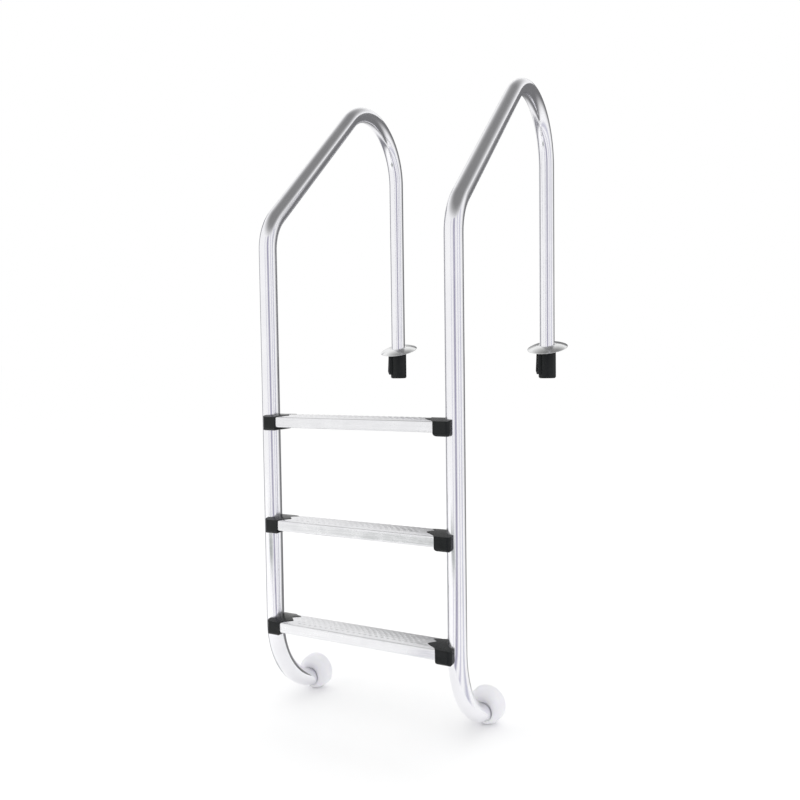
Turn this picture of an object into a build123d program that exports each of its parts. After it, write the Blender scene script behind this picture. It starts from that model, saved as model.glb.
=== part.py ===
# Three-step pool ladder: two bent stainless side rails, three pressed treads in
# black plastic end caps, soft wall bumpers, loose cover rings and two deck
# anchors with clamping wedges.
#
# Frame, millimetres: +Z up, +Y from the water towards the deck, +X across the
# ladder. The origin is under the middle of the bounding box, at the height of
# the bumpers' lowest point.
from build123d import *
import math
import os

os.makedirs("parts", exist_ok=True)

# ---------------------------------------------------------------- dimensions
TUBE_OD = 43.0            # standard ladder tube
TUBE_WALL = 1.5
RAIL_SPACING = 490.0      # centre to centre of the two side rails
DECK_REACH = 680.0        # water-side leg to deck post, centre to centre

Y_LEG = -350.0488           # y of the water-side legs (sets the origin in the middle)
Y_POST = Y_LEG + DECK_REACH

Z_FOOT_BEND = 234.0       # where the leg starts to bend
R_FOOT = 206.0
FOOT_TURN = 76.0          # degrees the foot turns from straight down
FOOT_TAIL = 8.0           # straight end after the foot bend
Z_KNEE = 1196.0           # corner of the knee before rounding
R_KNEE = 118.0
Z_TOP_CORNER = 1811.0     # corner of the top bend before rounding
R_TOP = 172.0

TREAD_TOPS = {"top": 742.4, "middle": 492.4, "bottom": 242.4}   # front edges, 250 mm apart
TREAD_HALF_LEN = 208.0
TREAD_HALF_DEPTH = 36.0
TREAD_FACE = 24.0         # height of the front face
TREAD_CROWN = 5.0         # middle of the top above its edges
TREAD_SKIN = 1.2

CAP_HALF_DEPTH = 39.0
CAP_HEIGHT = 38.5
CAP_FIT = 0.05            # gap between the cap and what it wraps
CAP_FINGER_X = 180.0      # tips of the pointed fingers on the tread
CAP_OUTER_X = 246.0       # ends of the arms, just past the middle of the rail
CAP_CROWN = 5.5           # height of the crown above the top's front and back edges
CAP_ABOVE = 5.9           # top of the crown above the tread's edges
BOLT_R = 4.0              # M8
BOLT_HEAD_AF = 13.0
BOLT_HEAD_H = 5.3
WASHER_R = 8.0
WASHER_T = 1.6
RIVET_R = 5.5

BUMPER_RIM_R = 44.0
BUMPER_Z = 44.0
BUMPER_FACE = 190.0       # contact face, from the leg's axis
BUMPER_BACK = 147.0       # back of the dome, where the tube goes in
BUMPER_BACK_R = 24.0
BUMPER_MOUTH_R = 23.2     # slight countersink round the tube

COVER_R = 58.5            # cover ring on the deck post
COVER_HOLE_R = 23.6
COVER_DOME = 11.0
COVER_T = 1.2
COVER_TILT = 18.0         # a loose ring comes to rest leaning towards the water
COVER_Z = 905.0           # centre of its rim

ANCHOR_TOP = 903.6
ANCHOR_BOTTOM = 816.0
ANCHOR_R = 25.0
ANCHOR_BORE_R = 21.8
ANCHOR_FLOOR = 5.0
WEDGE_AZIMUTH = 225.0     # degrees from +X, seen from above
LOBE_W = 16.0
CHANNEL_W = 10.6
CHANNEL_TOP_R = 28.9
CHANNEL_FLOOR_R = 31.4
CHANNEL_FLOOR_Z = 836.0
WEDGE_TOP_Z = 886.0
WEDGE_BOTTOM_Z = 846.0
WEDGE_SCREW_R = 2.5       # M5
WEDGE_SCREW_RAD = 25.7    # its distance from the post's axis

R_TUBE = TUBE_OD / 2
HALF = RAIL_SPACING / 2


def save(builder, name):
    builder.part.label = name
    export_step(builder.part, f"parts/{name}.step")


def foot_points(turn_deg, tail):
    """Foot end and foot corner (y, z) of a bend that starts at Z_FOOT_BEND."""
    turn = math.radians(turn_deg)
    reach = R_FOOT * math.tan(turn / 2)
    corner = (Y_LEG, Z_FOOT_BEND - reach)
    run = reach + tail
    end = (Y_LEG + run * math.sin(turn), corner[1] - run * math.cos(turn))
    return [end, corner]


def rail_corners():
    """Corner points (y, z) of one side rail's centreline, foot end first."""
    return foot_points(FOOT_TURN, FOOT_TAIL) + [
        (Y_LEG, Z_KNEE),
        (Y_POST, Z_TOP_CORNER),
        (Y_POST, ANCHOR_BOTTOM + ANCHOR_FLOOR + 0.3),
    ]


def foot_rod(side, radius, turn_deg, tail):
    """Solid rod along the lower part of the rail, to cut what the tube goes into."""
    points = foot_points(turn_deg, tail) + [(Y_LEG, Z_FOOT_BEND + 200)]
    with BuildPart(mode=Mode.PRIVATE) as rod:
        with BuildLine(Plane.YZ.offset(side * HALF)) as path:
            FilletPolyline(*points, radius=R_FOOT)
        with BuildSketch(Plane(origin=path.line @ 0, z_dir=path.line % 0)):
            Circle(radius)
        sweep(path=path.line)
    return rod.part


# ---------------------------------------------------------------- side rails
def side_rail(side):
    with BuildPart() as rail:
        with BuildLine(Plane.YZ.offset(side * HALF)) as path:
            FilletPolyline(*rail_corners(), radius=[R_FOOT, R_KNEE, R_TOP])
        with BuildSketch(Plane(origin=path.line @ 0, z_dir=path.line % 0)):
            Circle(R_TUBE)
            Circle(R_TUBE - TUBE_WALL, mode=Mode.SUBTRACT)
        sweep(path=path.line)
        # clearance holes for the rivet nuts, in the wall that faces the tread
        for top in TREAD_TOPS.values():
            with BuildSketch(Plane.YZ.offset(side * (HALF - R_TUBE - 2))):
                with Locations((Y_LEG, top - TREAD_FACE / 2)):
                    Circle(RIVET_R)
            extrude(amount=side * 14, mode=Mode.SUBTRACT)
    return rail


# -------------------------------------------------------------------- treads
def tread_outline(top, inset):
    """Outline of the pressed tread, drawn in Y and Z, shrunk by inset."""
    half = TREAD_HALF_DEPTH - inset
    low = top - TREAD_FACE + inset
    edge = top - inset
    with BuildLine() as outline:
        Line((Y_LEG - half, low), (Y_LEG - half, edge))
        ThreePointArc(
            (Y_LEG - half, edge), (Y_LEG, edge + TREAD_CROWN), (Y_LEG + half, edge)
        )
        Line((Y_LEG + half, edge), (Y_LEG + half, low))
        Line((Y_LEG + half, low), (Y_LEG - half, low))
    return outline.line


def tread(top):
    with BuildPart() as step:
        with BuildSketch(Plane.YZ.offset(-TREAD_HALF_LEN)) as section:
            with BuildLine():
                add(tread_outline(top, 0))
            make_face()
            fillet(section.vertices(), 3.5)
        extrude(amount=2 * TREAD_HALF_LEN)
        with BuildSketch(Plane.YZ.offset(-TREAD_HALF_LEN - 1)) as hollow:
            with BuildLine():
                add(tread_outline(top, TREAD_SKIN))
            make_face()
            fillet(hollow.vertices(), 2.3)
        extrude(amount=2 * TREAD_HALF_LEN + 2, mode=Mode.SUBTRACT)
        # the underside is open between two turned-in lips
        with BuildSketch(Plane.YZ.offset(-TREAD_HALF_LEN - 1)):
            with Locations((Y_LEG, top - TREAD_FACE)):
                Rectangle(48, 6)
        extrude(amount=2 * TREAD_HALF_LEN + 2, mode=Mode.SUBTRACT)
    return step


# ----------------------------------------------------------- tread end caps
def tread_cap(side, top):
    mid = top - TREAD_FACE / 2
    high = top + CAP_ABOVE
    low = high - CAP_HEIGHT
    d = CAP_HALF_DEPTH

    def across(points):
        return [(side * x, Y_LEG + y) for x, y in points]

    with BuildPart() as cap:
        # outline seen from above: body, arms round the rail, pointed fingers
        with BuildSketch(Plane.XY.offset(low)) as plan:
            with BuildLine():
                Polyline(
                    *across(
                        [
                            (TREAD_HALF_LEN, -d),
                            (CAP_OUTER_X, -d),
                            (CAP_OUTER_X, d),
                            (TREAD_HALF_LEN, d),
                            (TREAD_HALF_LEN - 5, 30),
                            (CAP_FINGER_X, 16),
                            (CAP_FINGER_X + 16, 0),
                            (CAP_FINGER_X, -16),
                            (TREAD_HALF_LEN - 5, -30),
                        ]
                    ),
                    close=True,
                )
            make_face()
            outer = [
                v
                for v in plan.vertices()
                if abs(v.X) > CAP_OUTER_X - 1
            ]
            fillet(outer, 11)
            tips = [v for v in plan.vertices() if abs(abs(v.X) - CAP_FINGER_X) < 1]
            fillet(tips, 1.2)
        extrude(amount=CAP_HEIGHT + 4)
        # crowned top and well-rounded lower corners
        with BuildSketch(Plane.YZ.offset(side * 170)) as crown:
            with BuildLine():
                edge = high - CAP_CROWN
                Line((Y_LEG - d, low), (Y_LEG - d, edge))
                ThreePointArc((Y_LEG - d, edge), (Y_LEG, high), (Y_LEG + d, edge))
                Line((Y_LEG + d, edge), (Y_LEG + d, low))
                Line((Y_LEG + d, low), (Y_LEG - d, low))
            make_face()
            fillet(crown.vertices().group_by(Axis.Y)[0], 9)
            fillet(crown.vertices().group_by(Axis.Y)[-1], 3)
        extrude(amount=side * 110, mode=Mode.INTERSECT)
        # rounded corners seen from the front, drawn in X and Z
        with BuildSketch(Plane.XZ.offset(-(Y_LEG + d + 5))) as front:
            with BuildLine():
                Polyline(
                    (side * 170, top - 15),
                    (side * 170, high + 1),
                    (side * CAP_OUTER_X, high + 1),
                    (side * CAP_OUTER_X, low),
                    (side * TREAD_HALF_LEN, low),
                    (side * TREAD_HALF_LEN, top - 15),
                    close=True,
                )
            make_face()
            lower = front.vertices().group_by(Axis.Y)[0]
            fillet(lower, 7.5)
            fillet(
                [v for v in front.vertices() if abs(v.X) > CAP_OUTER_X - 1 and v.Y > top],
                5,
            )
        extrude(amount=2 * d + 10, mode=Mode.INTERSECT)
        # room for the tread, which runs up to the body of the cap
        with BuildSketch(Plane.YZ.offset(side * 150)) as seat:
            with BuildLine():
                add(tread_outline(top, -CAP_FIT))
            make_face()
            fillet(seat.vertices(), 3.5)
        extrude(amount=side * (TREAD_HALF_LEN + CAP_FIT - 150), mode=Mode.SUBTRACT)
        with BuildSketch(Plane.YZ.offset(side * 150)):
            with Locations((Y_LEG, top - 20)):
                Rectangle(2 * d + 10, 40 - 2)
        extrude(amount=side * (TREAD_HALF_LEN - 150), mode=Mode.SUBTRACT)
        # tongues inside the tread, with a gap between them for the bolt head
        with BuildSketch(Plane.YZ.offset(side * (TREAD_HALF_LEN - 22))) as tongue:
            with BuildLine():
                add(tread_outline(top, TREAD_SKIN + 0.15))
            make_face()
            fillet(tongue.vertices(), 2.3)
            with Locations((Y_LEG, top)):
                Rectangle(26, 80, mode=Mode.SUBTRACT)
        extrude(amount=side * 24)
        # saddle for the rail
        with BuildSketch(Plane.XY.offset(low - 5)):
            with Locations((side * HALF, Y_LEG)):
                Circle(R_TUBE + CAP_FIT)
        extrude(amount=CAP_HEIGHT + 10, mode=Mode.SUBTRACT)
        if top == TREAD_TOPS["bottom"]:
            # the foot bend starts inside the lowest saddle
            add(foot_rod(side, R_TUBE + 0.15, FOOT_TURN, 0.5), mode=Mode.SUBTRACT)
        # bolt hole and room for the rivet nut's flange
        with BuildSketch(Plane.YZ.offset(side * 200)):
            with Locations((Y_LEG, mid)):
                Circle(BOLT_R + 0.4)
        extrude(amount=side * 30, mode=Mode.SUBTRACT)
        with BuildSketch(Plane.YZ.offset(side * 221.5)):
            with Locations((Y_LEG, mid)):
                Circle(7.2)
        extrude(amount=side * 8, mode=Mode.SUBTRACT)
    return cap


# ----------------------------------------------------------- tread fasteners
def each_joint():
    for side in (-1, 1):
        for top in TREAD_TOPS.values():
            yield side, top - TREAD_FACE / 2


with BuildPart() as tread_bolts:
    for side, z in each_joint():
        # hex head in the tread's hollow, shank into the rivet nut
        with BuildSketch(Plane.YZ.offset(side * 201.1)) as head:
            with Locations((Y_LEG, z)):
                RegularPolygon(BOLT_HEAD_AF / 2, 6, major_radius=False)
        extrude(amount=side * BOLT_HEAD_H)
        with BuildSketch(Plane.YZ.offset(side * 206.3)):
            with Locations((Y_LEG, z)):
                Circle(BOLT_R - 0.1)
        extrude(amount=side * 31)
save(tread_bolts, "tread_bolts")

with BuildPart() as tread_washers:
    for side, z in each_joint():
        with BuildSketch(Plane.YZ.offset(side * 206.45)):
            with Locations((Y_LEG, z)):
                Circle(WASHER_R)
                Circle(BOLT_R + 0.2, mode=Mode.SUBTRACT)
        extrude(amount=side * (WASHER_T - 0.1))
save(tread_washers, "tread_washers")

with BuildPart() as rivet_nuts:
    for side, z in each_joint():
        # flange against the outside of the tube wall
        with BuildSketch(Plane.YZ.offset(side * 222.3)):
            with Locations((Y_LEG, z)):
                Circle(6.8)
        extrude(amount=side * 1.1)
        # body through the wall
        with BuildSketch(Plane.YZ.offset(side * 223.3)):
            with Locations((Y_LEG, z)):
                Circle(RIVET_R - 0.1)
        extrude(amount=side * 15.7)
        # collapsed bulge that grips the wall from inside
        with BuildSketch(Plane.YZ.offset(side * 226.8)):
            with Locations((Y_LEG, z)):
                Circle(7.0)
        extrude(amount=side * 2.6)
        with BuildSketch(Plane.YZ.offset(side * 222.0)):
            with Locations((Y_LEG, z)):
                Circle(BOLT_R - 0.05)
        extrude(amount=side * 18, mode=Mode.SUBTRACT)
save(rivet_nuts, "rivet_nuts")


# -------------------------------------------------------------- wall bumpers
def wall_bumper(side):
    x = side * HALF
    with BuildPart() as bumper:
        # half-section drawn in Y and Z above the axis, turned about it
        with BuildSketch(Plane.YZ.offset(x)) as half:
            with BuildLine():
                face = Y_LEG + BUMPER_FACE
                back = Y_LEG + BUMPER_BACK
                Line((back, BUMPER_Z), (back, BUMPER_Z + BUMPER_BACK_R))
                ThreePointArc(
                    (back, BUMPER_Z + BUMPER_BACK_R),
                    (back + 5.5, BUMPER_Z + 36.5),
                    (face - 22, BUMPER_Z + 43.2),
                )
                Polyline(
                    (face - 22, BUMPER_Z + 43.2),
                    (face - 14, BUMPER_Z + BUMPER_RIM_R),
                    (face - 4, BUMPER_Z + BUMPER_RIM_R),
                    (face, BUMPER_Z + BUMPER_RIM_R - 4),
                    (face, BUMPER_Z),
                    (back, BUMPER_Z),
                )
            make_face()
        revolve(axis=Axis((x, 0, BUMPER_Z), (0, 1, 0)))
        add(foot_rod(side, R_TUBE + 0.15, FOOT_TURN, FOOT_TAIL + 0.5), mode=Mode.SUBTRACT)
        add(foot_rod(side, BUMPER_MOUTH_R, 74.4, 0.5), mode=Mode.SUBTRACT)
    return bumper


# ------------------------------------------------------- cover rings on posts
def cover_plane(side):
    tilt = math.radians(COVER_TILT)
    normal = Vector(0, -math.sin(tilt), math.cos(tilt))
    # the middle of the hole is on the post's axis
    hub = COVER_DOME - COVER_T / 2
    origin = Vector(side * HALF, Y_POST, COVER_Z) - Vector(normal.X, normal.Y, 0) * hub
    return Plane(origin=origin, x_dir=(1, 0, -normal.X / normal.Z), z_dir=normal)


def cover_ring(side):
    base = cover_plane(side)
    section = Plane(origin=base.origin, x_dir=base.x_dir, z_dir=-base.y_dir)
    with BuildPart() as ring:
        with BuildSketch(section):
            with BuildLine():
                # domed top surface, rim, underside
                ThreePointArc(
                    (COVER_HOLE_R, COVER_DOME), (41, 7.6), (COVER_R - 1.5, 0.8)
                )
                Polyline(
                    (COVER_R - 1.5, 0.8),
                    (COVER_R, 0.4),
                    (COVER_R, -0.8),
                    (COVER_R - 2.2, -0.8),
                )
                ThreePointArc(
                    (COVER_R - 2.2, -0.8),
                    (40.4, 6.4),
                    (COVER_HOLE_R, COVER_DOME - COVER_T),
                )
                Line((COVER_HOLE_R, COVER_DOME - COVER_T), (COVER_HOLE_R, COVER_DOME))
            make_face()
        revolve(axis=Axis(base.origin, base.z_dir))
    return ring


# --------------------------------------------------------------- deck anchors
def wedge_plane(side):
    """Vertical plane through the post's axis, x towards the wedge, y up."""
    a = math.radians(WEDGE_AZIMUTH)
    out = Vector(math.cos(a), math.sin(a), 0)
    return Plane(
        origin=(side * HALF, Y_POST, 0), x_dir=out, z_dir=out.cross(Vector(0, 0, 1))
    )


def level_plane(side, z):
    """Level plane with x towards the wedge."""
    a = math.radians(WEDGE_AZIMUTH)
    return Plane(
        origin=(side * HALF, Y_POST, z), x_dir=(math.cos(a), math.sin(a), 0), z_dir=(0, 0, 1)
    )


def anchor_socket(side):
    with BuildPart() as socket:
        with BuildSketch(level_plane(side, ANCHOR_BOTTOM)):
            Circle(ANCHOR_R)
        extrude(amount=ANCHOR_TOP - ANCHOR_BOTTOM)
        # lobe that houses the wedge, wider towards its foot
        with BuildSketch(wedge_plane(side)):
            with BuildLine():
                Polyline(
                    (10, ANCHOR_TOP),
                    (CHANNEL_TOP_R + 1.2, ANCHOR_TOP),
                    (CHANNEL_FLOOR_R + 1.8, CHANNEL_FLOOR_Z + 2),
                    (CHANNEL_FLOOR_R - 1.6, CHANNEL_FLOOR_Z - 8),
                    (10, CHANNEL_FLOOR_Z - 8),
                    close=True,
                )
            make_face()
        extrude(amount=LOBE_W / 2, both=True)
        fillet(socket.faces().sort_by(Axis.Z)[0].edges(), 5.5)
        # post bore
        with BuildSketch(level_plane(side, ANCHOR_BOTTOM + ANCHOR_FLOOR)):
            Circle(ANCHOR_BORE_R)
        extrude(amount=200, mode=Mode.SUBTRACT)
        # wedge channel with a sloping back, open to the bore
        with BuildSketch(wedge_plane(side)):
            with BuildLine():
                Polyline(
                    (15, WEDGE_TOP_Z + 4.6),
                    (CHANNEL_TOP_R - 0.4, WEDGE_TOP_Z + 4.6),
                    (CHANNEL_FLOOR_R, CHANNEL_FLOOR_Z),
                    (15, CHANNEL_FLOOR_Z),
                    close=True,
                )
            make_face()
        extrude(amount=CHANNEL_W / 2, both=True, mode=Mode.SUBTRACT)
        # windows in the lobe, above and below a bridge
        for z0, z1 in ((CHANNEL_FLOOR_Z + 3, 858.0), (863.0, WEDGE_TOP_Z + 1.0)):
            with BuildSketch(wedge_plane(side)):
                with Locations((30, (z0 + z1) / 2)):
                    Rectangle(16, z1 - z0)
            extrude(amount=3.4, both=True, mode=Mode.SUBTRACT)
        # screw hole and counterbore in the shoulder above the channel
        with BuildSketch(level_plane(side, WEDGE_TOP_Z)):
            with Locations((WEDGE_SCREW_RAD, 0)):
                Circle(WEDGE_SCREW_R + 0.35)
        extrude(amount=30, mode=Mode.SUBTRACT)
        with BuildSketch(level_plane(side, ANCHOR_TOP - 5.6)):
            with Locations((WEDGE_SCREW_RAD, 0)):
                Circle(4.3)
        extrude(amount=10, mode=Mode.SUBTRACT)
    return socket


def anchor_wedge(side):
    with BuildPart() as wedge:
        slope = (CHANNEL_FLOOR_R - (CHANNEL_TOP_R - 0.4)) / (
            WEDGE_TOP_Z + 4.6 - CHANNEL_FLOOR_Z
        )

        def back(z):
            return CHANNEL_FLOOR_R - slope * (z - CHANNEL_FLOOR_Z) - 0.3

        with BuildSketch(wedge_plane(side)):
            with BuildLine():
                Polyline(
                    (15, WEDGE_TOP_Z),
                    (back(WEDGE_TOP_Z), WEDGE_TOP_Z),
                    (back(WEDGE_BOTTOM_Z), WEDGE_BOTTOM_Z),
                    (15, WEDGE_BOTTOM_Z),
                    close=True,
                )
            make_face()
        extrude(amount=CHANNEL_W / 2 - 0.3, both=True)
        with BuildSketch(level_plane(side, WEDGE_BOTTOM_Z - 5)):
            Circle(R_TUBE + 0.35)
        extrude(amount=80, mode=Mode.SUBTRACT)
        with BuildSketch(level_plane(side, WEDGE_BOTTOM_Z - 5)):
            with Locations((WEDGE_SCREW_RAD, 0)):
                Circle(WEDGE_SCREW_R + 0.05)
        extrude(amount=80, mode=Mode.SUBTRACT)
    return wedge


def wedge_screw(side):
    with BuildPart() as screw:
        with BuildSketch(level_plane(side, 842.0)):
            with Locations((WEDGE_SCREW_RAD, 0)):
                Circle(WEDGE_SCREW_R)
        extrude(amount=ANCHOR_TOP - 5.3 - 842.0)
        with BuildSketch(level_plane(side, ANCHOR_TOP - 5.3)):
            with Locations((WEDGE_SCREW_RAD, 0)):
                Circle(3.85)
        extrude(amount=5.0)
        # hexagon socket in the head
        with BuildSketch(level_plane(side, ANCHOR_TOP - 3.0)):
            with Locations((WEDGE_SCREW_RAD, 0)):
                RegularPolygon(1.8, 6, major_radius=False)
        extrude(amount=10, mode=Mode.SUBTRACT)
    return screw


# ---------------------------------------------------------------- all pieces
for side, hand in ((-1, "left"), (1, "right")):
    save(side_rail(side), f"{hand}_side_rail")
    save(wall_bumper(side), f"{hand}_wall_bumper")
    save(cover_ring(side), f"{hand}_cover_ring")
    save(anchor_socket(side), f"{hand}_anchor_socket")
    save(anchor_wedge(side), f"{hand}_anchor_wedge")
    save(wedge_screw(side), f"{hand}_wedge_screw")
    for level, top in TREAD_TOPS.items():
        save(tread_cap(side, top), f"{level}_tread_cap_{hand}")

for level, top in TREAD_TOPS.items():
    save(tread(top), f"{level}_tread")
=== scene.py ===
import bpy
import bmesh
import math
from mathutils import Matrix, Vector


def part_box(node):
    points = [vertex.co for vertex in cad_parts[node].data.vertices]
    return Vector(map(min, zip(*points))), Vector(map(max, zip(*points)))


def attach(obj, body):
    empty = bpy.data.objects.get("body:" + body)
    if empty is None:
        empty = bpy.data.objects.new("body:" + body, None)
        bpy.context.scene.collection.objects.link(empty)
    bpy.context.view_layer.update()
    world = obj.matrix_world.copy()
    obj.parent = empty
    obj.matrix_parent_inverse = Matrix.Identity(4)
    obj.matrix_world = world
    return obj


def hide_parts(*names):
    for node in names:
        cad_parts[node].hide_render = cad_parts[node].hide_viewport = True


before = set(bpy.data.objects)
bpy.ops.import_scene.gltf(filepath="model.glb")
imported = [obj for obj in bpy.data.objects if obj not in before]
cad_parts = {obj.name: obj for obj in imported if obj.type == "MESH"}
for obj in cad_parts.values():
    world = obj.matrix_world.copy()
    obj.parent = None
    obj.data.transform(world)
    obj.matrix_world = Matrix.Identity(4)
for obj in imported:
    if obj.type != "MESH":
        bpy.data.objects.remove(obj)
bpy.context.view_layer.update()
MM = 0.001


def middle(node):
    lo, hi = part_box(node)
    return (lo + hi) / 2


# ------------------------------------------------------------ places from CAD
X_RAIL = abs(middle("right_side_rail").x)
Y_LEG = middle("top_tread").y
Y_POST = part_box("left_side_rail")[1].y - 0.0215
TREADS = ("top", "middle", "bottom")
R_OUT, R_IN = 0.0215, 0.0200


# ------------------------------------------------------------- mesh utilities
def add_object(name, mesh):
    o = bpy.data.objects.new(name, mesh)
    bpy.context.scene.collection.objects.link(o)
    return o


def build(name, verts, faces, uvs=None, smooth=True):
    me = bpy.data.meshes.new(name)
    me.from_pydata([tuple(v) for v in verts], [], faces)
    if uvs is not None:
        layer = me.uv_layers.new(name="UVMap")
        flat = []
        for f in uvs:
            for u in f:
                flat.extend(u)
        layer.data.foreach_set("uv", flat)
    me.polygons.foreach_set("use_smooth", [smooth] * len(me.polygons))
    me.validate()
    me.update()
    return me


def sharp_by_angle(me, degrees):
    bm = bmesh.new()
    bm.from_mesh(me)
    limit = math.radians(degrees)
    for e in bm.edges:
        if len(e.link_faces) == 2 and e.calc_face_angle(0) > limit:
            e.smooth = False
    bm.to_mesh(me)
    bm.free()
    return me


def grid_faces(rows, cols, start=0, flip=False, wrap=False):
    """Quads of a rows by cols block of vertices; wrap joins the last column to the first."""
    out = []
    for i in range(rows - 1):
        for j in range(cols if wrap else cols - 1):
            k = (j + 1) % cols
            a, b = start + i * cols + j, start + i * cols + k
            c, d = start + (i + 1) * cols + k, start + (i + 1) * cols + j
            out.append((a, d, c, b) if flip else (a, b, c, d))
    return out


def fillet_path(points, radii, step_line=0.04, step_turn=1.5):
    """Points (y, z), directions and run along a polyline with rounded corners."""
    pts = [Vector(p) for p in points]
    out = []

    def put(p, d):
        s = out[-1][2] + (p - out[-1][0]).length if out else 0.0
        out.append((p, d, s))

    here = pts[0]
    for i in range(1, len(pts) - 1):
        d0 = (pts[i] - pts[i - 1]).normalized()
        d1 = (pts[i + 1] - pts[i]).normalized()
        turn = d0.angle_signed(d1)
        reach = radii[i - 1] * math.tan(abs(turn) / 2)
        start = pts[i] - d0 * reach
        n = max(1, round((start - here).length / step_line))
        for k in range(n):
            put(here.lerp(start, k / n), d0)
        side = Vector((-d0.y, d0.x))
        # mathutils counts 2D signed angles clockwise
        if (d0.x * d1.y - d0.y * d1.x) < 0:
            side = -side
        centre = start + side * radii[i - 1]
        n = max(2, round(math.degrees(abs(turn)) / step_turn))
        for k in range(n):
            a = abs(turn) * k / n
            p = centre - side * radii[i - 1] * math.cos(a) + d0 * radii[i - 1] * math.sin(a)
            d = d0 * math.cos(a) + side * math.sin(a)
            put(p, d)
        here = pts[i] + d1 * reach
    d = (pts[-1] - here).normalized()
    n = max(1, round((pts[-1] - here).length / step_line))
    for k in range(n + 1):
        put(here.lerp(pts[-1], k / n), d)
    return out


# ------------------------------------------------------------------ materials
def new_material(name):
    m = bpy.data.materials.new(name)
    m.use_nodes = True
    nt = m.node_tree
    bsdf = next(n for n in nt.nodes if n.type == "BSDF_PRINCIPLED")
    return m, nt, bsdf


def node(nt, kind, **values):
    n = nt.nodes.new(kind)
    for k, v in values.items():
        if k in n.inputs.keys():
            n.inputs[k].default_value = v
        else:
            setattr(n, k, v)
    return n


def ramp(nt, source, stops):
    r = nt.nodes.new("ShaderNodeValToRGB")
    el = r.color_ramp.elements
    el[0].position, el[0].color = stops[0][0], stops[0][1]
    el[1].position, el[1].color = stops[-1][0], stops[-1][1]
    for pos, col in stops[1:-1]:
        e = el.new(pos)
        e.color = col
    nt.links.new(source, r.inputs["Fac"])
    return r.outputs["Color"]


def to_range(nt, source, lo, hi, from_lo=0.0, from_hi=1.0):
    m = nt.nodes.new("ShaderNodeMapRange")
    m.inputs["From Min"].default_value = from_lo
    m.inputs["From Max"].default_value = from_hi
    m.inputs["To Min"].default_value = lo
    m.inputs["To Max"].default_value = hi
    nt.links.new(source, m.inputs["Value"])
    return m.outputs["Result"]


def mapping(nt, coord, scale):
    t = nt.nodes.new("ShaderNodeTexCoord")
    m = nt.nodes.new("ShaderNodeMapping")
    m.inputs["Scale"].default_value = scale
    nt.links.new(t.outputs[coord], m.inputs["Vector"])
    return m.outputs["Vector"]


def noise(nt, vector, scale, detail=3.0, rough=0.55, distortion=0.0):
    n = nt.nodes.new("ShaderNodeTexNoise")
    n.inputs["Scale"].default_value = scale
    n.inputs["Detail"].default_value = detail
    n.inputs["Roughness"].default_value = rough
    n.inputs["Distortion"].default_value = distortion
    nt.links.new(vector, n.inputs["Vector"])
    return n.outputs["Fac"]


def mix_values(nt, a, b, op="ADD", clamp=False):
    m = nt.nodes.new("ShaderNodeMath")
    m.operation = op
    m.use_clamp = clamp
    for i, v in enumerate((a, b)):
        if isinstance(v, (int, float)):
            m.inputs[i].default_value = v
        else:
            nt.links.new(v, m.inputs[i])
    return m.outputs["Value"]


def bump(nt, bsdf, height, distance, strength=1.0):
    b = nt.nodes.new("ShaderNodeBump")
    b.inputs["Distance"].default_value = distance
    b.inputs["Strength"].default_value = strength
    nt.links.new(height, b.inputs["Height"])
    nt.links.new(b.outputs["Normal"], bsdf.inputs["Normal"])


def polished_tube_material():
    """Mill-polished stainless tube: faint lines along the tube, cloudier patches, a few smudges."""
    m, nt, b = new_material("polished_stainless_tube")
    b.inputs["Metallic"].default_value = 1.0
    lines = noise(nt, mapping(nt, "UV", (900.0, 5.0, 1.0)), 1.0, 4.0, 0.6)
    cross = noise(nt, mapping(nt, "UV", (26.0, 240.0, 1.0)), 1.0, 2.0, 0.5)
    clouds = noise(nt, mapping(nt, "Object", (1.0, 1.0, 1.0)), 9.0, 4.0, 0.6, 0.6)
    smudge = noise(nt, mapping(nt, "Object", (1.0, 1.0, 1.0)), 38.0, 3.0, 0.7, 1.2)
    tone = ramp(
        nt,
        mix_values(nt, mix_values(nt, lines, 0.45, "MULTIPLY"), mix_values(nt, clouds, 0.55, "MULTIPLY")),
        [(0.30, (0.84, 0.838, 0.865, 1)), (0.52, (0.895, 0.893, 0.918, 1)), (0.72, (0.95, 0.948, 0.965, 1))],
    )
    nt.links.new(tone, b.inputs["Base Color"])
    rough = mix_values(nt, to_range(nt, clouds, 0.10, 0.19, 0.3, 0.75), to_range(nt, smudge, 0.0, 0.06, 0.55, 0.8))
    rough = mix_values(nt, rough, to_range(nt, lines, -0.012, 0.03, 0.3, 0.7))
    nt.links.new(rough, b.inputs["Roughness"])
    speckle = noise(nt, mapping(nt, "UV", (520.0, 520.0, 1.0)), 1.0, 3.0, 0.7)
    height = mix_values(nt, mix_values(nt, lines, 0.7, "MULTIPLY"), mix_values(nt, cross, 0.25, "MULTIPLY"))
    height = mix_values(nt, height, mix_values(nt, speckle, 0.9, "MULTIPLY"))
    bump(nt, b, height, 0.00002, 0.45)
    return m


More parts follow.
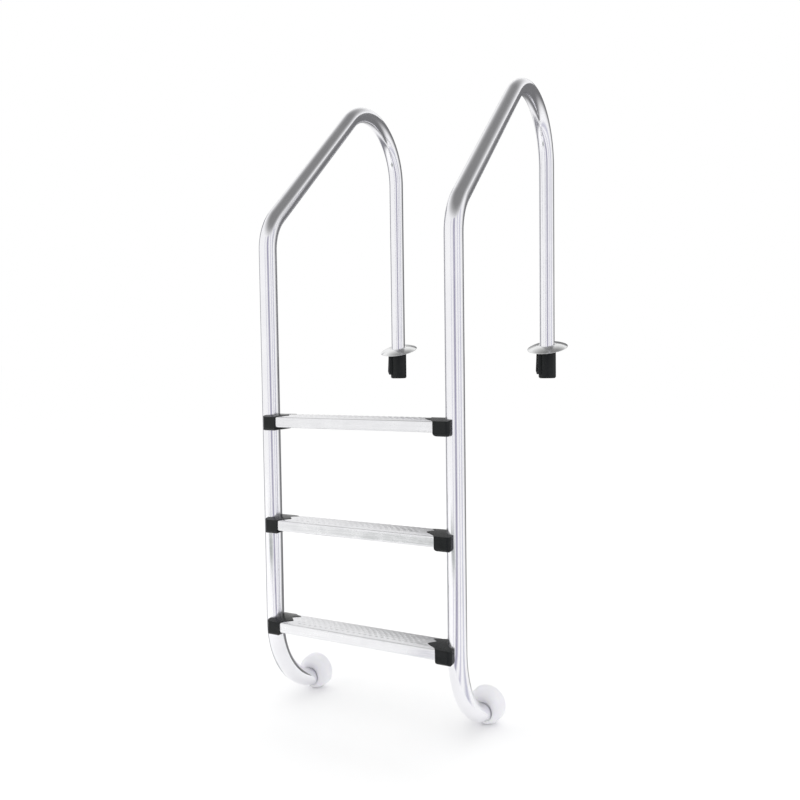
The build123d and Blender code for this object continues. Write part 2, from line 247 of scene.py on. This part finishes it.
def tread_material():
    """Pressed stainless sheet, satin across the tread, with cloudy patches of roughness."""
    m, nt, b = new_material("satin_stainless_tread")
    b.inputs["Metallic"].default_value = 1.0
    brushed = noise(nt, mapping(nt, "Object", (14.0, 900.0, 900.0)), 1.0, 4.0, 0.6)
    clouds = noise(nt, mapping(nt, "Object", (1.0, 1.0, 1.0)), 22.0, 4.0, 0.6, 0.4)
    fine = noise(nt, mapping(nt, "Object", (1.0, 1.0, 1.0)), 420.0, 2.0, 0.6)
    tone = ramp(
        nt,
        mix_values(nt, mix_values(nt, brushed, 0.5, "MULTIPLY"), mix_values(nt, clouds, 0.5, "MULTIPLY")),
        [(0.30, (0.74, 0.74, 0.76, 1)), (0.5, (0.83, 0.83, 0.845, 1)), (0.72, (0.93, 0.93, 0.94, 1))],
    )
    nt.links.new(tone, b.inputs["Base Color"])
    rough = mix_values(nt, to_range(nt, clouds, 0.17, 0.30, 0.3, 0.75), to_range(nt, brushed, -0.03, 0.05, 0.3, 0.7))
    nt.links.new(rough, b.inputs["Roughness"])
    height = mix_values(nt, brushed, mix_values(nt, fine, 0.5, "MULTIPLY"))
    bump(nt, b, height, 0.000016, 0.5)
    return m


def black_plastic_material(name, dust, gloss_low, gloss_high):
    """Moulded black plastic with a fine spark-eroded grain and slightly greyer rubbed patches."""
    m, nt, b = new_material(name)
    grain = noise(nt, mapping(nt, "Object", (1.0, 1.0, 1.0)), 1400.0, 2.0, 0.6)
    waves = noise(nt, mapping(nt, "Object", (1.0, 1.0, 1.0)), 60.0, 4.0, 0.6, 0.5)
    cells = nt.nodes.new("ShaderNodeTexVoronoi")
    cells.inputs["Scale"].default_value = 900.0
    nt.links.new(mapping(nt, "Object", (1.0, 1.0, 1.0)), cells.inputs["Vector"])
    tone = ramp(
        nt, waves,
        [(0.32, (0.0035, 0.005, 0.005, 1)), (0.55, (0.006, 0.0075, 0.008, 1)), (0.78, (dust, dust, dust * 1.06, 1))],
    )
    nt.links.new(tone, b.inputs["Base Color"])
    nt.links.new(
        mix_values(nt, to_range(nt, waves, gloss_low, gloss_high, 0.3, 0.7), to_range(nt, grain, -0.02, 0.04)),
        b.inputs["Roughness"],
    )
    b.inputs["Specular IOR Level"].default_value = 0.24
    bump(nt, b, mix_values(nt, grain, mix_values(nt, cells.outputs["Distance"], 0.6, "MULTIPLY")), 0.00003, 0.4)
    return m


def bumper_material():
    """Milky soft plastic, slightly translucent, with faint clouding and scuffs."""
    m, nt, b = new_material("milky_soft_plastic")
    clouds = noise(nt, mapping(nt, "Object", (1.0, 1.0, 1.0)), 32.0, 4.0, 0.6, 0.4)
    scuff = noise(nt, mapping(nt, "Object", (1.0, 1.0, 1.0)), 240.0, 3.0, 0.7, 1.0)
    fine = noise(nt, mapping(nt, "Object", (1.0, 1.0, 1.0)), 1600.0, 2.0, 0.6)
    tone = ramp(
        nt, clouds,
        [(0.28, (0.885, 0.88, 0.935, 1)), (0.55, (0.91, 0.906, 0.95, 1)), (0.80, (0.935, 0.932, 0.965, 1))],
    )
    nt.links.new(tone, b.inputs["Base Color"])
    nt.links.new(
        mix_values(nt, to_range(nt, clouds, 0.28, 0.36, 0.3, 0.7), to_range(nt, scuff, 0.0, 0.06, 0.5, 0.8)),
        b.inputs["Roughness"],
    )
    b.inputs["Subsurface Weight"].default_value = 0.35
    b.inputs["Subsurface Radius"].default_value = (0.010, 0.009, 0.012)
    b.inputs["Subsurface Scale"].default_value = 0.6
    b.inputs["Transmission Weight"].default_value = 0.08
    b.inputs["IOR"].default_value = 1.46
    bump(nt, b, mix_values(nt, fine, mix_values(nt, scuff, 0.5, "MULTIPLY")), 0.000012, 0.3)
    return m


def steel_material(name, low, high, rough_low, rough_high):
    """Cast or turned steel pieces: mottled, with small tool marks."""
    m, nt, b = new_material(name)
    b.inputs["Metallic"].default_value = 1.0
    mottle = noise(nt, mapping(nt, "Object", (1.0, 1.0, 1.0)), 160.0, 4.0, 0.6, 0.3)
    marks = noise(nt, mapping(nt, "Object", (300.0, 300.0, 2600.0)), 1.0, 3.0, 0.6)
    tone = ramp(nt, mottle, [(0.3, (*low, 1)), (0.72, (*high, 1))])
    nt.links.new(tone, b.inputs["Base Color"])
    nt.links.new(
        mix_values(nt, to_range(nt, mottle, rough_low, rough_high, 0.3, 0.7), to_range(nt, marks, -0.02, 0.04)),
        b.inputs["Roughness"],
    )
    bump(nt, b, mix_values(nt, marks, mix_values(nt, mottle, 0.6, "MULTIPLY")), 0.00004, 0.5)
    return m


def cover_material():
    """Spun and polished stainless disc: fine rings round the hub."""
    m, nt, b = new_material("polished_cover_disc")
    b.inputs["Metallic"].default_value = 1.0
    rings = noise(nt, mapping(nt, "UV", (3.0, 1500.0, 1.0)), 1.0, 3.0, 0.6)
    clouds = noise(nt, mapping(nt, "Object", (1.0, 1.0, 1.0)), 45.0, 4.0, 0.6, 0.5)
    tone = ramp(
        nt,
        mix_values(nt, mix_values(nt, rings, 0.4, "MULTIPLY"), mix_values(nt, clouds, 0.6, "MULTIPLY")),
        [(0.3, (0.78, 0.79, 0.79, 1)), (0.52, (0.86, 0.865, 0.865, 1)), (0.74, (0.93, 0.93, 0.94, 1))],
    )
    nt.links.new(tone, b.inputs["Base Color"])
    nt.links.new(
        mix_values(nt, to_range(nt, clouds, 0.09, 0.21, 0.3, 0.75), to_range(nt, rings, -0.02, 0.04, 0.3, 0.7)),
        b.inputs["Roughness"],
    )
    bump(nt, b, mix_values(nt, rings, mix_values(nt, clouds, 0.3, "MULTIPLY")), 0.00002, 0.5)
    return m


MAT = {
    "rail": polished_tube_material(),
    "tread": tread_material(),
    "cap": black_plastic_material("black_cap_plastic", 0.012, 0.20, 0.34),
    "anchor": black_plastic_material("black_anchor_plastic", 0.014, 0.34, 0.5),
    "bumper": bumper_material(),
    "cover": cover_material(),
    "wedge": steel_material("cast_wedge_steel", (0.48, 0.49, 0.44), (0.66, 0.67, 0.60), 0.28, 0.46),
    "fastener": steel_material("turned_fastener_steel", (0.52, 0.52, 0.54), (0.72, 0.72, 0.74), 0.20, 0.36),
}


def finish_piece(o, slot_name, body, *nodes):
    o.data.materials.clear()
    o.data.materials.append(MAT[slot_name])
    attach(o, body)
    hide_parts(*nodes)
    return o


# ---------------------------------------------------------------- side rails
def side_rail(name, x):
    bend, r_foot, turn, tail = 0.234, 0.206, math.radians(76.0), 0.008
    reach = r_foot * math.tan(turn / 2)
    foot = (Y_LEG + (reach + tail) * math.sin(turn), bend - reach - (reach + tail) * math.cos(turn))
    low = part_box("left_side_rail" if x < 0 else "right_side_rail")
    post_end = 0.8213
    path = fillet_path(
        [foot, (Y_LEG, bend - reach), (Y_LEG, 1.196), (Y_POST, 1.811), (Y_POST, post_end)],
        [r_foot, 0.118, 0.172],
    )
    segs, rows = 80, len(path)
    verts, faces, uvs = [], [], []
    for radius in (R_OUT, R_IN):
        for p, d, s in path:
            n = Vector((-d.y, d.x))
            for k in range(segs):
                a = 2 * math.pi * k / segs
                off = n * (radius * math.sin(a))
                verts.append((x + radius * math.cos(a), p.x + off.x, p.y + off.y))

    def uv(i, j, radius):
        return (j / segs * 2 * math.pi * radius, path[i][2])

    for shell, radius in ((0, R_OUT), (1, R_IN)):
        base = shell * rows * segs
        for i in range(rows - 1):
            for j in range(segs):
                k = (j + 1) % segs
                quad = [(i, j, j), (i, k, j + 1), (i + 1, k, j + 1), (i + 1, j, j)]
                if shell == 0:
                    quad.reverse()
                faces.append([base + a * segs + b for a, b, _ in quad])
                uvs.append([uv(a, c, radius) for a, _, c in quad])
    inner = rows * segs
    for i, flip in ((0, False), (rows - 1, True)):
        for j in range(segs):
            k = (j + 1) % segs
            quad = [i * segs + j, i * segs + k, inner + i * segs + k, inner + i * segs + j]
            if flip:
                quad.reverse()
            faces.append(quad)
            uvs.append([(0, 0), (0.001, 0), (0.001, 0.001), (0, 0.001)])
    me = build(name, verts, faces, uvs)
    bm = bmesh.new()
    bm.from_mesh(me)
    bmesh.ops.recalc_face_normals(bm, faces=bm.faces)
    bm.to_mesh(me)
    bm.free()
    sharp_by_angle(me, 40)
    o = add_object(name, me)
    edge = o.modifiers.new("deburred_ends", "BEVEL")
    edge.width = 0.0003
    edge.segments = 2
    edge.limit_method = "ANGLE"
    edge.angle_limit = math.radians(50)
    edge.harden_normals = True
    return o


finish_piece(side_rail("left_rail_tube", -X_RAIL), "rail", "ladder", "left_side_rail")
finish_piece(side_rail("right_rail_tube", X_RAIL), "rail", "ladder", "right_side_rail")


# -------------------------------------------------------------------- treads
def tread_section(top):
    """Outer outline of the pressed tread as (y, z, ny, nz, crown) from lip to lip, relative to Y_LEG."""
    half, low, edge, rise, r = 0.036, top - 0.024, top, 0.005, 0.0035
    big = (half * half + rise * rise) / (2 * rise)
    cz = edge + rise - big
    fy = half - r
    fz = cz + math.sqrt((big - r) ** 2 - fy * fy)
    lean = math.atan2(fy, fz - cz)
    out = []
    for k in range(4):
        out.append((0.0241 + (fy - 0.0241) * k / 4, low, 0, -1, 0))
    for k in range(9):
        a = math.radians(90 * k / 8)
        out.append((fy + r * math.sin(a), low + r - r * math.cos(a), math.sin(a), -math.cos(a), 0))
    for k in range(1, 6):
        out.append((half, low + r + (fz - low - r) * k / 6, 1, 0, 0))
    n = 9
    for k in range(n):
        a = (math.pi / 2 - lean) * k / (n - 1)
        out.append((fy + r * math.cos(a), fz + r * math.sin(a), math.cos(a), math.sin(a), 0))
    n = 34
    for k in range(1, n + 1):
        a = lean * (1 - k / n)
        out.append((big * math.sin(a), cz + big * math.cos(a), math.sin(a), math.cos(a), 1))
    mirrored = [(-y, z, -ny, nz, c) for y, z, ny, nz, c in reversed(out[:-1])]
    return out + mirrored


def emboss(x, y):
    """Height of the pressed anti-slip pattern, staggered oval studs."""
    if abs(x) > 0.1725 or abs(y) > 0.0275:
        return 0.0
    px, py = 0.0150, 0.0078
    row = round(y / py)
    shift = 0.5 * px if row % 2 else 0.0
    dx = (x - shift + 0.5 * px) % px - 0.5 * px
    dy = y - row * py
    if abs(x - dx) > 0.168:
        return 0.0
    q = (dx / 0.0046) ** 2 + (dy / 0.0021) ** 2
    if q >= 1:
        return 0.0
    t = 1 - q
    return 0.00062 * t * t * (3 - 2 * t)


def tread_mesh(name, top):
    section = tread_section(top)
    half_len, thick, cols = 0.208, 0.0012, 330
    xs = [-half_len + 2 * half_len * i / cols for i in range(cols + 1)]
    n = len(section)
    verts = []
    for shell in (0, 1):
        for x in xs:
            for y, z, ny, nz, crown in section:
                h = emboss(x, y) if crown else 0.0
                h -= thick if shell else 0.0
                verts.append((x, Y_LEG + y + ny * h, z + nz * h))
    rows = len(xs)
    faces = grid_faces(rows, n, 0) + grid_faces(rows, n, rows * n, flip=True)
    inner = rows * n
    for i in range(rows - 1):
        for j, flip in ((0, True), (n - 1, False)):
            q = [i * n + j, (i + 1) * n + j, inner + (i + 1) * n + j, inner + i * n + j]
            faces.append(q[::-1] if flip else q)
    for j in range(n - 1):
        q = [j, j + 1, inner + j + 1, inner + j]
        faces.append(q)
        e = (rows - 1) * n
        q = [e + j, e + j + 1, inner + e + j + 1, inner + e + j]
        faces.append(q[::-1])
    me = build(name, verts, faces)
    bm = bmesh.new()
    bm.from_mesh(me)
    bmesh.ops.recalc_face_normals(bm, faces=bm.faces)
    bm.to_mesh(me)
    bm.free()
    return sharp_by_angle(me, 45)


for level in TREADS:
    top_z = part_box(level + "_tread")[1].z - 0.005
    o = add_object(level + "_step_pressing", tread_mesh(level + "_step_pressing", top_z))
    finish_piece(o, "tread", "ladder", level + "_tread")


# ----------------------------------------- pieces with the CAD outline, softened
def softened(node_name, name, width, segments=3, angle=30.0, dissolve=0.35):
    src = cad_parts[node_name].data
    bm = bmesh.new()
    bm.from_mesh(src)
    bmesh.ops.remove_doubles(bm, verts=bm.verts, dist=2e-6)
    bmesh.ops.dissolve_degenerate(bm, edges=bm.edges, dist=2e-6)
    bmesh.ops.dissolve_limit(
        bm, angle_limit=math.radians(dissolve), verts=bm.verts, edges=bm.edges,
        use_dissolve_boundaries=False,
    )
    bmesh.ops.recalc_face_normals(bm, faces=bm.faces)
    for f in bm.faces:
        f.smooth = True
    me = bpy.data.meshes.new(name)
    bm.to_mesh(me)
    bm.free()
    for att in ("custom_normal",):
        if att in me.attributes:
            me.attributes.remove(me.attributes[att])
    o = add_object(name, me)
    if width:
        m = o.modifiers.new("soft_edges", "BEVEL")
        m.width = width
        m.segments = segments
        m.limit_method = "ANGLE"
        m.angle_limit = math.radians(angle)
        m.use_clamp_overlap = True
        m.harden_normals = True
    return o


def bumper_lip(name, x):
    """Thin soft lip in the crescent between the foot bend and the bumper's mouth."""
    r_foot, bend, back, segs, deep = 0.206, 0.234, 0.147, 96, math.radians(74.6)
    verts, faces = [], []

    def at(turn, radius, a):
        py = r_foot * (1 - math.cos(turn)) + radius * math.sin(a) * math.cos(turn)
        pz = bend - r_foot * math.sin(turn) + radius * math.sin(a) * math.sin(turn)
        return (x + radius * math.cos(a), Y_LEG + py, pz)

    for k in range(segs):
        a = 2 * math.pi * k / segs
        mouth = math.acos((r_foot - back) / (r_foot - 0.0232 * math.sin(a)))
        start = min(mouth + math.radians(0.75), deep - 0.002)
        verts += [
            at(deep, 0.02156, a), at(start + 0.0022, 0.02156, a), at(start + 0.0004, 0.0218, a),
            at(start, 0.0223, a), at(start - 0.0006, 0.0228, a), at(start - 0.0010, 0.02325, a), at(deep, 0.02325, a),
        ]
    for k in range(segs):
        for j in range(7):
            q, w = k * 7, ((k + 1) % segs) * 7
            faces.append((q + j, w + j, w + (j + 1) % 7, q + (j + 1) % 7))
    me = build(name, verts, faces)
    bm = bmesh.new()
    bm.from_mesh(me)
    bmesh.ops.recalc_face_normals(bm, faces=bm.faces)
    bm.to_mesh(me)
    bm.free()
    return me


for hand in ("left", "right"):
    for level in TREADS:
        n = f"{level}_tread_cap_{hand}"
        finish_piece(softened(n, n + "_moulding", 0.0009), "cap", "ladder", n)
    n = f"{hand}_wall_bumper"
    finish_piece(softened(n, n + "_moulding", 0.0011, 4, 30.0, 0.1), "bumper", "ladder", n)
    lip = add_object(f"{hand}_bumper_lip", bumper_lip(f"{hand}_bumper_lip", X_RAIL if hand == "right" else -X_RAIL))
    lip.data.materials.append(MAT["bumper"])
    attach(lip, "ladder")
    n = f"{hand}_anchor_socket"
    finish_piece(softened(n, n + "_moulding", 0.0005), "anchor", "deck_anchors", n)
    n = f"{hand}_anchor_wedge"
    finish_piece(softened(n, n + "_casting", 0.0004), "wedge", f"{hand}_wedge", n)
    n = f"{hand}_wedge_screw"
    finish_piece(softened(n, n + "_turned", 0.0002, 2), "fastener", f"{hand}_wedge_screw", n)
for n in ("tread_bolts", "tread_washers", "rivet_nuts"):
    finish_piece(softened(n, n + "_turned", 0.0003, 2), "fastener", "ladder", n)


# ------------------------------------------------------ cover rings on the posts
def arc3(a, b, c, n):
    """n + 1 points on the arc from a through b to c."""
    ax, ay = a
    bx, by = b
    cx, cy = c
    d = 2 * (ax * (by - cy) + bx * (cy - ay) + cx * (ay - by))
    ux = ((ax**2 + ay**2) * (by - cy) + (bx**2 + by**2) * (cy - ay) + (cx**2 + cy**2) * (ay - by)) / d
    uy = ((ax**2 + ay**2) * (cx - bx) + (bx**2 + by**2) * (ax - cx) + (cx**2 + cy**2) * (bx - ax)) / d
    r = math.hypot(ax - ux, ay - uy)
    t0, t1 = math.atan2(ay - uy, ax - ux), math.atan2(cy - uy, cx - ux)
    tm = math.atan2(by - uy, bx - ux)
    while t1 - t0 > math.pi:
        t1 -= 2 * math.pi
    while t0 - t1 > math.pi:
        t1 += 2 * math.pi
    return [(ux + r * math.cos(t0 + (t1 - t0) * k / n), uy + r * math.sin(t0 + (t1 - t0) * k / n)) for k in range(n + 1)]


def cover_ring(name, x):
    tilt = math.radians(18.0)
    hub = 10.4
    lo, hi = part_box("left_cover_ring")
    big = (hi.x - lo.x) / 2 / MM
    up = Vector((0, -math.sin(tilt), math.cos(tilt)))
    side = Vector((0, math.cos(tilt), math.sin(tilt)))
    origin = Vector((x, Y_POST, 0.905)) - Vector((up.x, up.y, 0)) * hub * MM
    outline = []
    outline += arc3((24.0, 10.95), (41, 7.6), (big - 1.6, 0.85), 26)
    # rolled rim
    outline += [(big - 1.0, 0.72), (big - 0.45, 0.42), (big - 0.1, 0.05), (big, -0.3), (big - 0.25, -0.62)]
    outline += [(big - 0.7, -0.8), (big - 1.4, -0.8), (big - 2.1, -0.72)]
    outline += arc3((big - 2.5, -0.5), (40.4, 6.4), (24.0, 9.82), 26)
    # rounded edge of the hole
    outline += [(23.75, 9.95), (23.62, 10.2), (23.6, 10.45), (23.66, 10.7), (23.8, 10.88)]
    segs = 144
    verts, faces, uvs = [], [], []
    run = [0.0]
    for i in range(1, len(outline) + 1):
        p, q = outline[i - 1], outline[i % len(outline)]
        run.append(run[-1] + math.hypot(q[0] - p[0], q[1] - p[1]) * MM)
    for r, h in outline:
        for k in range(segs):
            a = 2 * math.pi * k / segs
            verts.append(origin + Vector((1, 0, 0)) * (r * MM * math.cos(a)) + side * (r * MM * math.sin(a)) + up * (h * MM))
    m = len(outline)
    for i in range(m):
        i2 = (i + 1) % m
        for j in range(segs):
            k = (j + 1) % segs
            faces.append([i * segs + j, i2 * segs + j, i2 * segs + k, i * segs + k])
            uvs.append([(j / segs, run[i]), (j / segs, run[i + 1]), ((j + 1) / segs, run[i + 1]), ((j + 1) / segs, run[i])])
    me = build(name, verts, faces, uvs)
    bm = bmesh.new()
    bm.from_mesh(me)
    bmesh.ops.recalc_face_normals(bm, faces=bm.faces)
    bm.to_mesh(me)
    bm.free()
    return add_object(name, me)


finish_piece(cover_ring("left_cover_disc", -X_RAIL), "cover", "left_cover_ring", "left_cover_ring")
finish_piece(cover_ring("right_cover_disc", X_RAIL), "cover", "right_cover_ring", "right_cover_ring")


# --------------------------------------------------------------------- studio
def stage_material(name, colour, rough=0.9):
    m, nt, b = new_material(name)
    b.inputs["Base Color"].default_value = (*colour, 1)
    b.inputs["Roughness"].default_value = rough
    b.inputs["Specular IOR Level"].default_value = 0.0
    b.inputs["Emission Color"].default_value = (1, 1, 1, 1)
    b.inputs["Emission Strength"].default_value = 0.05
    return m


def floor():
    verts, faces, rings, segs = [(0, 0, 0)], [], 8, 64
    for i in range(1, rings + 1):
        r = 0.6 * (2.2 ** (i - 1))
        for k in range(segs):
            a = 2 * math.pi * k / segs
            verts.append((r * math.cos(a), r * math.sin(a), 0))
    for k in range(segs):
        faces.append((0, 1 + k, 1 + (k + 1) % segs))
    for i in range(rings - 1):
        for k in range(segs):
            a, b = 1 + i * segs + k, 1 + i * segs + (k + 1) % segs
            faces.append((a, a + segs, b + segs, b))
    me = build("studio_floor", verts, faces)
    me.materials.append(stage_material("pale_floor", (0.95, 0.95, 0.95)))
    o = add_object("studio_floor", me)
    o.location.z = -0.0006


def cloth(name, colour, edge, outline="strip"):
    """Unlit studio cloth that fades to white at its edges."""
    m = bpy.data.materials.new(name)
    m.use_nodes = True
    nt = m.node_tree
    nt.nodes.clear()
    uv = nt.nodes.new("ShaderNodeTexCoord")
    sep = nt.nodes.new("ShaderNodeSeparateXYZ")
    nt.links.new(uv.outputs["UV"], sep.inputs["Vector"])
    r = nt.nodes.new("ShaderNodeValToRGB")
    r.color_ramp.interpolation = "EASE"
    white = (1.0, 1.0, 1.0, 1)
    el = r.color_ramp.elements
    if outline == "strip":
        el[0].position, el[0].color = 0.0, white
        el[1].position, el[1].color = 1.0, white
        for pos in (edge, 1 - edge):
            e = el.new(pos)
            e.color = (*colour, 1)
    else:
        el[0].position, el[0].color = 1 - edge, (*colour, 1)
        el[1].position, el[1].color = 1.0, white
    nt.links.new(sep.outputs["X"], r.inputs["Fac"])
    em = nt.nodes.new("ShaderNodeEmission")
    nt.links.new(r.outputs["Color"], em.inputs["Color"])
    out = nt.nodes.new("ShaderNodeOutputMaterial")
    nt.links.new(em.outputs["Emission"], out.inputs["Surface"])
    return m


def hang(name, me, material):
    me.materials.append(material)
    o = add_object(name, me)
    o.visible_camera = False
    o.visible_diffuse = False
    o.visible_shadow = False
    o.visible_transmission = False


def flag(name, azimuth, width_deg, z0, z1, colour, edge=0.45, distance=4.2):
    """Curved upright flag: only polished surfaces see it, as a streak."""
    verts, faces, uvs, n = [], [], [], 12
    for i in range(n + 1):
        a = math.radians(azimuth - width_deg / 2 + width_deg * i / n)
        x, y = distance * math.cos(a), distance * math.sin(a)
        verts += [(x, y, z0), (x, y, z1)]
    for i in range(n):
        faces.append((2 * i, 2 * i + 2, 2 * i + 3, 2 * i + 1))
        uvs.append([(i / n, 0), ((i + 1) / n, 0), ((i + 1) / n, 1), (i / n, 1)])
    # the same cloth laid on the floor, so low parts see the streak too
    base, radii = len(verts), (0.34, 0.8, 1.8, distance)
    for radius in radii:
        for i in range(n + 1):
            a = math.radians(azimuth - width_deg / 2 + width_deg * i / n)
            verts.append((radius * math.cos(a), radius * math.sin(a) + Y_LEG * (1 - radius / distance), 0.006))
    for k in range(len(radii) - 1):
        for i in range(n):
            q = base + k * (n + 1) + i
            faces.append((q, q + 1, q + n + 2, q + n + 1))
            uvs.append([(i / n, 0), ((i + 1) / n, 0), ((i + 1) / n, 1), (i / n, 1)])
    hang(name, build(name, verts, faces, uvs), cloth(name + "_cloth", colour, edge))


def round_flag(name, centre, radii, colour, edge):
    """Level oval flag, darkest in the middle."""
    verts, faces, uvs, segs = [tuple(centre)], [], [], 72
    for k in range(segs):
        a = 2 * math.pi * k / segs
        verts.append((centre[0] + radii[0] * math.cos(a), centre[1] + radii[1] * math.sin(a), centre[2]))
    for k in range(segs):
        faces.append((0, 1 + k, 1 + (k + 1) % segs))
        uvs.append([(0, 0), (1, 0), (1, 0)])
    hang(name, build(name, verts, faces, uvs), cloth(name + "_cloth", colour, edge, "round"))


def area(name, location, target, size, energy, colour=(1, 1, 1), glossy=True):
    light = bpy.data.lights.new(name, "AREA")
    light.shape = "RECTANGLE"
    light.size, light.size_y = size
    light.energy = energy
    light.color = colour
    o = bpy.data.objects.new(name, light)
    bpy.context.scene.collection.objects.link(o)
    o.location = location
    o.rotation_euler = (Vector(target) - Vector(location)).to_track_quat("-Z", "Y").to_euler()
    o.visible_glossy = glossy
    o.visible_camera = False


floor()

world = bpy.data.worlds.new("studio_world")
bpy.context.scene.world = world
world.use_nodes = True
wn = world.node_tree
wn.nodes.clear()
bg = wn.nodes.new("ShaderNodeBackground")
bg.inputs["Color"].default_value = (1.0, 1.0, 1.0, 1)
bg.inputs["Strength"].default_value = 1.0
wo = wn.nodes.new("ShaderNodeOutputWorld")
wn.links.new(bg.outputs["Background"], wo.inputs["Surface"])

area("overhead_soft", (0.2, -0.2, 3.6), (0, 0, 0), (3.6, 3.6), 14, glossy=False)
area("key_soft", (-2.4, -2.6, 2.2), (0, 0, 0.8), (1.6, 2.2), 10, glossy=False)

# azimuth of the flag's middle, width in degrees, colour, share of it that fades
FLAGS = [
    (299.0, 36.0, (0.33, 0.315, 0.43), 0.46),
    (334.0, 16.0, (0.60, 0.59, 0.70), 0.48),
    (266.0, 12.0, (0.66, 0.65, 0.74), 0.48),
    (3.0, 26.0, (0.58, 0.58, 0.68), 0.48),
    (82.0, 104.0, (0.19, 0.19, 0.195), 0.30),
    (160.0, 50.0, (0.26, 0.26, 0.285), 0.42),
]
for i, (az, w, col, edge) in enumerate(FLAGS):
    flag(f"studio_flag_{i}", az, w, 0.006, 3.6, col, edge)
round_flag("studio_ceiling_flag", (1.2, -0.6, 4.6), (6.0, 5.6), (0.25, 0.25, 0.25), 0.72)
round_flag("studio_low_flag", (-0.45, -2.15, 0.012), (1.3, 0.5), (0.28, 0.31, 0.29), 0.6)

# --------------------------------------------------------------------- camera
cam_data = bpy.data.cameras.new("photo_camera")
cam_data.sensor_fit = "HORIZONTAL"
cam_data.sensor_width = 36.0
cam_data.lens = 787.653 / 800.0 * 36.0
cam_data.clip_start = 0.05
cam_data.clip_end = 500.0
camera = bpy.data.objects.new("photo_camera", cam_data)
bpy.context.scene.collection.objects.link(camera)
yaw, pitch, roll = 0.477918, 0.0516294, -0.0133512
f = Vector((-math.sin(yaw) * math.cos(pitch), math.cos(yaw) * math.cos(pitch), -math.sin(pitch)))
r = Vector((math.cos(yaw), math.sin(yaw), 0))
u = r.cross(f)
r2 = math.cos(roll) * r + math.sin(roll) * u
u2 = -math.sin(roll) * r + math.cos(roll) * u
place = Matrix((
    (r2.x, u2.x, -f.x, 0.9220758),
    (r2.y, u2.y, -f.y, -1.5663566 + Y_LEG),
    (r2.z, u2.z, -f.z, 0.1498979 + 0.727),
    (0, 0, 0, 1),
))
camera.matrix_world = place
bpy.context.scene.camera = camera
bpy.context.scene.view_settings.view_transform = "Standard"
bpy.context.scene.view_settings.look = "None"

bpy.context.view_layer.update()
